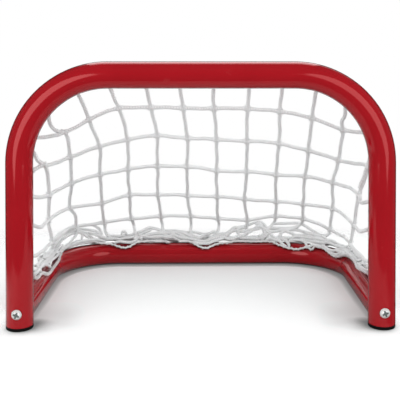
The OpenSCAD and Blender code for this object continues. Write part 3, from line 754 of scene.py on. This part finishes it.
BAR_BUNCH = [
    # the rear bar's left half
    [(107, 235.8, 2), (113, 236, 2), (119, 236.3, 2), (125, 235.5, 2), (131, 235, 1), (136, 233, 1),
     (141, 231.5, 0), (145, 229.5, 0), (149, 227.8, 0), (154, 228.3, 0), (160, 229.9, 0), (167, 230.7, 0),
     (175, 230.6, 0), (182, 231.7, 1), (188, 232.2, 1)],
    [(121, 235, 4), (122, 232.4, 4), (124, 231.6, 4), (126, 233, 4), (127, 236, 5)],
    [(104, 240.5, 10), (109, 238.8, 8), (114, 238.5, 7), (120, 239.3, 7), (126, 237.8, 6), (132, 237.3, 6),
     (138, 235.2, 5), (143, 233.2, 5), (147, 231.3, 4), (152, 229.8, 3)],
    [(133, 238.6, 9), (140, 237, 9), (146, 235.3, 8), (152, 233.8, 8), (158, 233.3, 7), (164, 233.2, 6),
     (171, 232.6, 5), (177, 233.2, 5), (183, 236, 8), (188, 238.6, 10)],
    [(139, 234.5, 8), (144, 236, 9), (150, 237, 10), (157, 236.6, 10), (163, 236.2, 10), (168, 236.6, 10),
     (173, 235, 9), (178, 236.6, 10), (184, 238, 10), (190, 238.8, 10), (195, 239.6, 11), (199, 241.3, 12)],
    [(114, 243, 14), (119, 241.4, 13), (125, 242, 13), (131, 242.2, 13), (135, 240.5, 12), (139, 238, 10)],
    [(158, 231.5, 3), (165, 232.5, 5), (172, 233.2, 6), (179, 232.3, 5), (186, 234, 6), (191, 236.3, 8),
     (197, 237, 9), (202, 238.6, 10)],
    [(184, 232.5, 2), (190, 232, 2), (196, 232.1, 2), (201, 233.8, 3), (206, 234.6, 3), (210, 233.6, 2),
     (213, 231.8, 1), (217, 231.5, 0)],
    [(186, 235.4, 6), (191, 234.6, 6), (195, 236.8, 8), (200, 237, 8), (204, 235, 6), (209, 232.6, 4)],
    [(194, 238.6, 10), (199, 240.6, 12), (205, 241.2, 13), (210, 239.6, 12), (214, 237.4, 10),
     (218, 235.3, 8), (224, 234, 6), (229, 233.6, 5)],
    [(193, 241, 12), (198, 243.2, 13), (204, 243.4, 14), (209, 243.2, 14), (213, 241.4, 13), (218, 240, 12),
     (224, 238.2, 11)],
    # the rear bar's right half
    [(213, 233.5, 3), (219, 233.9, 3), (225, 233.6, 3), (229.5, 231.6, 3), (233, 228.8, 2), (237, 227.4, 2),
     (242, 226.6, 1), (246, 225.7, 1), (250, 224.2, 1), (254, 222.6, 1), (258, 221.7, 1), (262, 222.7, 1),
     (265, 225.6, 2), (267, 229.5, 3), (267.5, 234, 6), (266, 238, 9)],
    [(228, 236.5, 7), (229.5, 233.2, 6), (234, 230.6, 5), (240, 231.4, 5), (245, 231.2, 5), (250, 229.8, 5),
     (255, 229.4, 5), (259, 228.3, 4), (262, 225.5, 3), (259, 223.6, 3), (255, 224.4, 3)],
    [(234, 239, 10), (238.5, 236.6, 9), (243, 235.6, 8), (247, 233, 7), (252, 230.6, 6), (258, 226.5, 5),
     (263, 227.5, 5), (267, 231.5, 6), (271, 235, 8)],
    [(240, 238.4, 10), (246, 237.8, 10), (252, 238.3, 10), (258, 238.4, 10), (262, 236.5, 9), (264, 233, 7),
     (263.5, 229, 5), (260.5, 225.5, 4), (256, 225, 4)],
    [(226, 238.4, 10), (231, 238.5, 10), (236, 237.4, 9), (238.6, 234, 7), (237, 230.6, 6), (240, 228.4, 4),
     (246, 227.8, 4)],
    [(209, 239.6, 11), (214, 238.4, 10), (219, 237, 9), (224, 237.4, 9), (229, 239, 10), (236, 239, 11)],
    [(215, 236, 7), (220, 234.6, 6), (224, 236, 7), (227, 234.4, 6), (231, 229.8, 4), (236, 225.9, 1)],
    [(261, 240.2, 11), (264.5, 236.4, 9), (268, 234, 7), (272, 231.6, 5), (277, 231, 4), (283, 229.9, 3),
     (290, 229.7, 2), (298, 230.2, 1), (305, 232.2, 1), (311, 234.8, 2), (318, 237.3, 4), (325, 238.8, 6)],
    [(262, 229.5, 4), (268, 230, 4), (273, 236.6, 8), (278, 238.6, 9), (284, 238.3, 9), (290, 238, 9),
     (297, 236.4, 8), (304, 237.2, 8), (311, 238, 8), (318, 239, 8), (325, 240.5, 8), (331, 240.8, 7),
     (337, 243, 6)],
    [(272, 224.5, 0), (276, 223.4, -1), (284, 223.4, -3), (292, 223.1, -4), (300, 223.2, -3),
     (305, 225.8, -2), (311, 229.7, 0), (317, 233.3, 2), (322, 236, 4), (327, 239, 6)],
    [(301, 223.5, 1), (297, 227.2, 2), (291, 229.5, 3), (285, 230.9, 4), (281, 233, 6), (279.8, 236.5, 8),
     (280, 240, 11)],
    [(284, 230.4, 4), (290, 232.6, 5), (296, 235.4, 7), (303, 235.2, 7), (310, 236.4, 7), (316, 240, 10)],
    [(265, 240.2, 11), (269, 238.3, 9), (274, 239.6, 10), (279, 240.8, 12), (282, 243.6, 13), (285, 246, 15),
     (288, 247.6, 16)],
    [(280, 238.8, 10), (284, 239.4, 10), (287, 241.8, 12), (288.8, 244.6, 14), (289, 248, 16)],
    [(287.5, 242.5, 12), (291, 240.4, 12), (297, 239.8, 11), (302.5, 240.6, 12), (305.8, 243, 13),
     (306.5, 247, 16)],
    [(300, 238.6, 10), (306, 240.4, 11), (312, 241.2, 12), (317, 241.8, 12), (322, 242.6, 12),
     (328, 242.2, 11)],
    [(305.5, 246.4, 15), (309.5, 246.4, 15), (313.5, 244.4, 14), (317, 246.2, 15), (322, 246.6, 15),
     (325, 243, 12)],
]

# The net's edge hangs in loops over the tube's inner side
HEM_LEFT = [
    (34, 277, 15), (37, 277.6, 16), (39.5, 275.4, 17), (41.5, 273.2, 18), (46, 273.8, 18), (49.5, 273, 18),
    (52, 269.4, 18), (55, 265.3, 18), (58, 261, 18), (60, 256, 16), (62.3, 250.5, 15), (66, 247.4, 14),
    (72, 245.6, 13), (80, 244.2, 13), (88, 242.2, 12), (93, 241, 11), (98, 242.5, 12), (105, 243.3, 13),
    (112, 244, 14), (118, 246.3, 15), (124, 247.7, 16), (129, 246.7, 15), (133, 244.3, 14),
    (136.5, 242.4, 12), (141, 241.6, 11), (147, 241, 11), (155, 240.8, 11), (162, 240.8, 10),
    (166, 241.8, 4), (170, 243, -2),
]
HEM_RIGHT = [
    (159, 235, 7), (164, 237.3, 10), (168, 238, 11), (172, 237.2, 11), (176, 238.6, 12), (180, 240.6, 13),
    (186, 240.9, 13), (190, 241.7, 13), (194, 243.2, 14), (197, 245, 15), (200, 246.7, 16),
    (203.5, 247.8, 17), (206.5, 248, 17), (209.5, 247, 16), (212.5, 245.5, 15), (216, 244.3, 14),
    (220, 243.2, 14), (225, 242.7, 13), (229, 242.5, 13), (232, 241.7, 12), (235, 241.0, 11),
    (244, 241.1, 11), (253, 241.3, 11), (259, 241.3, 11), (265, 241, 11), (270, 241.4, 11), (273, 242, 12),
    (277, 244, 14), (281, 245.5, 15), (285, 247, 16), (288, 248, 17), (291, 248.4, 17), (295, 249.2, 18),
    (299, 249, 18), (303, 248, 17), (306, 247.3, 16), (308, 247.5, 16), (310.5, 249.3, 18),
    (312.5, 249.3, 18), (313.7, 247.5, 16), (315, 245.8, 15), (317.5, 246.2, 15), (321, 247.3, 16),
    (324, 248.6, 16), (327, 251, 17), (330, 253.5, 18), (333, 255.5, 19), (337, 256.7, 19), (340, 256, 18),
    (343, 255, 17), (347, 255.3, 17), (350, 256.5, 17), (352, 258.5, 17), (354.6, 261, 17), (355.8, 264, 17),
    (357, 267, 18), (360, 269, 18), (363, 270.3, 18), (366.5, 273, 18),
]

# The slack cords at the back of the bunch: the length of a turn, its phase, the place inwards of the tube's
# axis and above the tube, and the swing, with lengths in mm
SLACK_CORDS = ((47, 0.0, -7.0, 5.6, 2.4), (61, 1.9, -1.0, 6.2, 1.8), (53, 3.6, -12.5, 2.6, 2.2))
SLACK_PAST_BEND = 30 * MM
SLACK_STEP = 3 * MM
SLACK_STRAY = 0.8 * MM


def slack_turns(mesh):
    """The slack cords that lie along the rear bar and its bends. Their turns are uneven and a little flat."""
    reach = REAR_HALF + REAR_ARC + SLACK_PAST_BEND
    count = round(2 * reach / SLACK_STEP)
    for key, (wave, phase, inwards, rise, swing) in enumerate(SLACK_CORDS):
        path = []
        for k in range(count + 1):
            b = reach * (2 * k / count - 1)
            turn = 2 * math.pi * b / (wave * MM) + phase + 0.9 * math.sin(17 * b + key)
            place = base_place(b, (inwards + swing * math.cos(turn)) * MM,
                               TUBE_R + (rise + 0.9 * swing * math.sin(turn)) * MM)
            path.append(place + wander(key, b, SLACK_STRAY))
        mesh.cord(path, tapered=True)


def whipping(path):
    """The thin twine that overcasts the net's edge: a spiral around the path, uneven as a hand leaves it."""
    uneven_turn, uneven_reach, parts = 11 * MM, 5 * MM, 3
    turns, along = [], 0.0
    for p, q in zip(path, path[1:]):
        way = (q - p).normalized()
        side = way.cross(UP).normalized()
        other = side.cross(way)
        for k in range(parts):
            turn = 2 * math.pi * along / TWINE_PITCH + 0.8 * math.sin(along / uneven_turn)
            r = HEM_R + TWINE_R * (0.8 + 0.5 * math.sin(along / uneven_reach) ** 2)
            turns.append(p.lerp(q, k / parts) + r * (math.cos(turn) * side + math.sin(turn) * other))
            along += (q - p).length / parts
    return turns


def make_bunch(cord_material, hem_material):
    """The net's slack foot on the base tube, and the net's overcast edge that hangs over it."""
    bunch = CordMesh()
    slack_turns(bunch)
    for routes, radius in ((CORNERS, CORNER_CORD_R), (BAR_BUNCH, BAR_CORD_R)):
        for route in routes:
            bunch.cord(smooth(base_route(route)), radius, tapered=True)
    bunch.build("net_bunch", cord_material, ["net_gather"])
    hem = CordMesh()
    for route in (HEM_LEFT, HEM_RIGHT):
        path = smooth(base_route(route))
        hem.cord(path, HEM_R, tapered=True)
        hem.cord(whipping(path), TWINE_R)
    hem.build("net_hem", hem_material)


# ---------- floor

WHITE = (1, 1, 1, 1)
FLOOR_FRONT, FLOOR_SIDE, FLOOR_BACK = -0.44, 1.6, 3.0
FLOOR_SEEN = (0.93, 0.955, 0.955, 1)  # the floor's colour, as the camera sees it
FLOOR_GLOW = 0.11  # what it shows the camera beyond the light that falls on it
FLOOR_BOUNCE = (0.52, 0.53, 0.53, 1)  # its colour for the light that it throws back
FLOOR_MIRRORED = (0.44, 0.45, 0.45, 1)  # its colour where the paint and the plating mirror it
FLOOR_MIRRORED_LEFT = (0.60, 0.60, 0.60, 1)
FLOOR_MIRRORED_INSIDE = (0.05, 0.05, 0.05, 1)
SHADE_GREY = (0.16, 0.17, 0.17, 1)
FEET_Y = POST_Y + 4 * MM


def floor_shade(g, y, off_middle, off_feet, camera_ray):
    """How far the floor goes to SHADE_GREY: around the feet, on their inner sides, and under the tubes."""
    open_by_feet, open_by_tubes = g.open_share(60 * MM), g.open_share(14 * MM)
    near_feet = g.span(off_feet, 10 * MM, 45 * MM, 1.0, 0.0)
    within_posts = g.span(off_middle, POST_X - 5 * MM, POST_X + 25 * MM, 1.0, 0.1)
    feet = g.times(near_feet, within_posts, g.span(open_by_feet, 0.55, 1.0, 1.0, 0.0))
    towards_post = g.span(off_middle, POST_X - 105.5 * MM, POST_X - 45.5 * MM)
    up_to_post = g.span(off_middle, POST_X - 10 * MM, POST_X + 20 * MM, 1.0, 0.0)
    front_edge = g.span(y, POST_Y - 21.5 * MM, POST_Y + 13.5 * MM)
    back_edge = g.span(y, POST_Y + 38.5 * MM, POST_Y + 133.5 * MM, 0.28, 0.0)
    inner_side = g.times(towards_post, up_to_post, front_edge, back_edge)
    tubes = g.times(camera_ray, g.span(open_by_tubes, 0.35, 0.95, 0.6, 0.0))
    return g.most(feet, inner_side, tubes)


def mirrored_floor(g, x, y):
    """The floor's colour where it is mirrored: brighter on the left, and darker inside, most on the right."""
    colour = g.mix(g.span(x, -320 * MM, -250 * MM), FLOOR_MIRRORED_LEFT, FLOOR_MIRRORED)
    inside = g.times(g.span(y, -160 * MM, -60 * MM), g.span(x, -200 * MM, 200 * MM, 0.0, 0.5))
    return g.mix(inside, colour, FLOOR_MIRRORED_INSIDE)


def floor_end(g, x, y, off_middle, off_feet, glossy_ray):
    """How far the floor has faded out, on both sides and behind, and by the feet just outside the posts."""
    outside_posts = g.span(off_middle, POST_X + 12 * MM, POST_X + 35 * MM)
    near_feet = g.span(off_feet, 40 * MM, 120 * MM, 1.0, 0.0)
    aside = g.most(g.span(off_middle, 300 * MM, 460 * MM), g.times(outside_posts, near_feet))
    on_left = g.span(x, -260 * MM, -240 * MM, 1.0, 0.0)
    aside_mirrored = g.span(x, -600 * MM, -420 * MM, 1.0, 0.0)
    aside = g.mix(g.times(glossy_ray, on_left), aside, aside_mirrored)
    return g.most(aside, g.span(y, 240 * MM, 440 * MM))


def make_floor():
    mesh = bpy.data.meshes.new("floor")
    corners = [(-FLOOR_SIDE, FLOOR_FRONT, 0), (FLOOR_SIDE, FLOOR_FRONT, 0),
               (FLOOR_SIDE, FLOOR_BACK, 0), (-FLOOR_SIDE, FLOOR_BACK, 0)]
    mesh.from_pydata(corners, [], [(0, 1, 2, 3)])
    floor = bpy.data.objects.new("floor", mesh)
    bpy.context.scene.collection.objects.link(floor)
    material, g = new_material("white floor")
    rays = g.node("LightPath").outputs
    camera_ray, glossy_ray = rays["Is Camera Ray"], rays["Is Glossy Ray"]
    x, y, _ = g.split(g.place())
    off_middle = g.math("ABSOLUTE", x)
    off_feet = g.math("ABSOLUTE", g.math("SUBTRACT", y, FEET_Y))
    seen = g.most(camera_ray, rays["Is Transmission Ray"])
    colour = g.mix(seen, g.mix(glossy_ray, FLOOR_BOUNCE, mirrored_floor(g, x, y)), FLOOR_SEEN)
    colour = g.mix(floor_shade(g, y, off_middle, off_feet, camera_ray), colour, SHADE_GREY)
    glow = g.node("Emission", Color=WHITE, Strength=g.times(seen, FLOOR_GLOW))
    both = g.node("AddShader")
    g.put(both.inputs[0], g.node("BsdfDiffuse", Color=colour).outputs[0])
    g.put(both.inputs[1], glow.outputs[0])
    fade = g.node("MixShader")
    g.put(fade.inputs[0], floor_end(g, x, y, off_middle, off_feet, glossy_ray))
    g.put(fade.inputs[1], both.outputs[0])
    g.put(fade.inputs[2], g.node("BsdfTransparent").outputs[0])
    g.node("OutputMaterial", Surface=fade.outputs[0])
    mesh.materials.append(material)


# ---------- world

# Directions are unit vectors: x to the right, y away from the camera, z up.
# What is mirrored of the world: the room in front and behind, and two parts of the backdrop
SHINE_FRONT = 0.11
SHINE_BEHIND = 0.03
LOW_BACKDROP = 0.3
HIGH_BACKDROP = 0.5
# The world's light on matt surfaces: low and high in front, a band over the horizon behind the goal, the
# rest behind, and below, with less of all but the last on the left
FILL_FRONT = 0.42
FILL_TOP = 1.80
FILL_BAND = 4.6
FILL_BACK = 0.15
FILL_BELOW = 0.75
FILL_LEFT = 0.80


def backdrop_shine(g, x, y, z):
    """What is mirrored of the backdrop: a low part on the left, and a high part in the rest."""
    low = g.times(g.span(y, 0.90, 0.975), g.span(x, -0.30, -0.20, LOW_BACKDROP, 0.0))
    high = g.times(g.span(y, 0.50, 0.65), g.span(z, 0.42, 0.56), g.span(x, -0.42, -0.24), HIGH_BACKDROP)
    return g.most(low, high)


def fill_light(g, x, y, z):
    """The world's light on matt surfaces."""
    ahead = g.span(z, 0.30, 0.70, FILL_FRONT, FILL_TOP)
    band = g.times(g.span(z, 0.06, 0.18), g.span(z, 0.24, 0.60, 1.0, 0.0))
    behind = g.math("ADD", g.times(band, FILL_BAND), FILL_BACK)
    around = g.times(g.span(y, -0.40, 0.05, ahead, behind), g.span(x, -0.6, 0.4, FILL_LEFT, 1.0))
    return g.span(z, -0.08, 0.0, FILL_BELOW, around)


def make_world():
    """White to the camera, and plain light and a few reflections for the goal."""
    world = bpy.data.worlds.new("studio")
    bpy.context.scene.world = world
    world.use_nodes = True
    g = Graph(world.node_tree)
    rays = g.node("LightPath").outputs
    x, y, z = g.split(g.node("TexCoord").outputs["Generated"])
    mirrored = g.most(rays["Is Glossy Ray"], rays["Is Transmission Ray"])
    seen = g.most(rays["Is Camera Ray"], g.times(mirrored, backdrop_shine(g, x, y, z)))
    shine = g.span(y, 0.2, 0.6, SHINE_FRONT, SHINE_BEHIND)
    light = g.span(rays["Is Diffuse Ray"], 0, 1, shine, fill_light(g, x, y, z))
    sky = g.node("Background", Color=WHITE, Strength=g.most(light, seen))
    g.node("OutputWorld", Surface=sky.outputs[0])


# ---------- lamps

# Places and sizes in metres
FRONT_LAMP_X, FRONT_LAMP_Y, FRONT_LAMP_Z = 0.85, -1.28, 0.51
FRONT_LAMP_AIM = (0, -0.05, 0.15)
FRONT_LAMP_WIDTH = 1.12
LEFT_RADIANCE, RIGHT_RADIANCE = 1.90, 1.48
TOP_LAMP_PLACE = (0.03, 0.74, 1.40)
TOP_LAMP_AIM = (0.03, -0.05, 0.1)
TOP_LAMP_SIZE = (1.2, 1.10)
TOP_RADIANCE = 1.6


def make_lamp(name, place, aim, radiance, width, height=None):
    """A softbox of the given radiance: a disc, or a rectangle where it has a height."""
    data = bpy.data.lights.new(name, "AREA")
    data.shape = "RECTANGLE" if height else "DISK"
    data.size = width
    area = math.pi * width * width / 4
    if height:
        data.size_y = height
        area = width * height
    data.energy = radiance * math.pi * area
    lamp = bpy.data.objects.new(name, data)
    lamp.location = place
    lamp.rotation_euler = (Vector(aim) - Vector(place)).to_track_quat("-Z", "Y").to_euler()
    bpy.context.scene.collection.objects.link(lamp)
    return lamp


def make_lamps():
    """Two discs in front, and a rectangle high behind the goal that shines without lighting matt surfaces."""
    for side, name, radiance in ((-1, "lamp_left", LEFT_RADIANCE), (1, "lamp_right", RIGHT_RADIANCE)):
        place = (side * FRONT_LAMP_X, FRONT_LAMP_Y, FRONT_LAMP_Z)
        make_lamp(name, place, FRONT_LAMP_AIM, radiance, FRONT_LAMP_WIDTH)
    top = make_lamp("lamp_top_back", TOP_LAMP_PLACE, TOP_LAMP_AIM, TOP_RADIANCE, *TOP_LAMP_SIZE)
    top.visible_diffuse = False


# ---------- the scene

BRAID_PITCH = 4.2 * MM
ROPE_BRAID_PITCH = 2.4 * MM

make_camera()
red, black, plating, nylon = powder_coat(), black_cap(), zinc(), clip_nylon()
net_white = braided_cord("net cord", BRAID_PITCH, (0.79, 0.81, 0.815, 1), (0.98, 0.99, 0.995, 1))
# The hem's cord is the net's white painted lighter, as if better lit.
hem_lit_white = braided_cord("hem cord", BRAID_PITCH, (0.94, 0.94, 0.94, 1), (1.0, 1.0, 1.0, 1))
rope_white = braided_cord("border rope", ROPE_BRAID_PITCH, (0.62, 0.63, 0.64, 1), (0.88, 0.885, 0.89, 1))

FINISHES = {
    red: ["front_frame", "base_frame"],
    black: ["left_foot_cap", "right_foot_cap", "left_leg_plug", "right_leg_plug"],
    plating: ["left_base_screw", "right_base_screw", "left_base_nut", "right_base_nut"],
    nylon: ["frame_net_clips", "base_net_clips"],
}
for material, nodes in FINISHES.items():
    for node in nodes:
        solid = bpy.data.objects[node]
        for place in solid.material_slots:
            place.material = material

make_net(net_white)
make_ropes(rope_white)
make_bunch(net_white, hem_lit_white)
make_floor()
make_world()
make_lamps()

bpy.context.scene.view_settings.view_transform = "Standard"
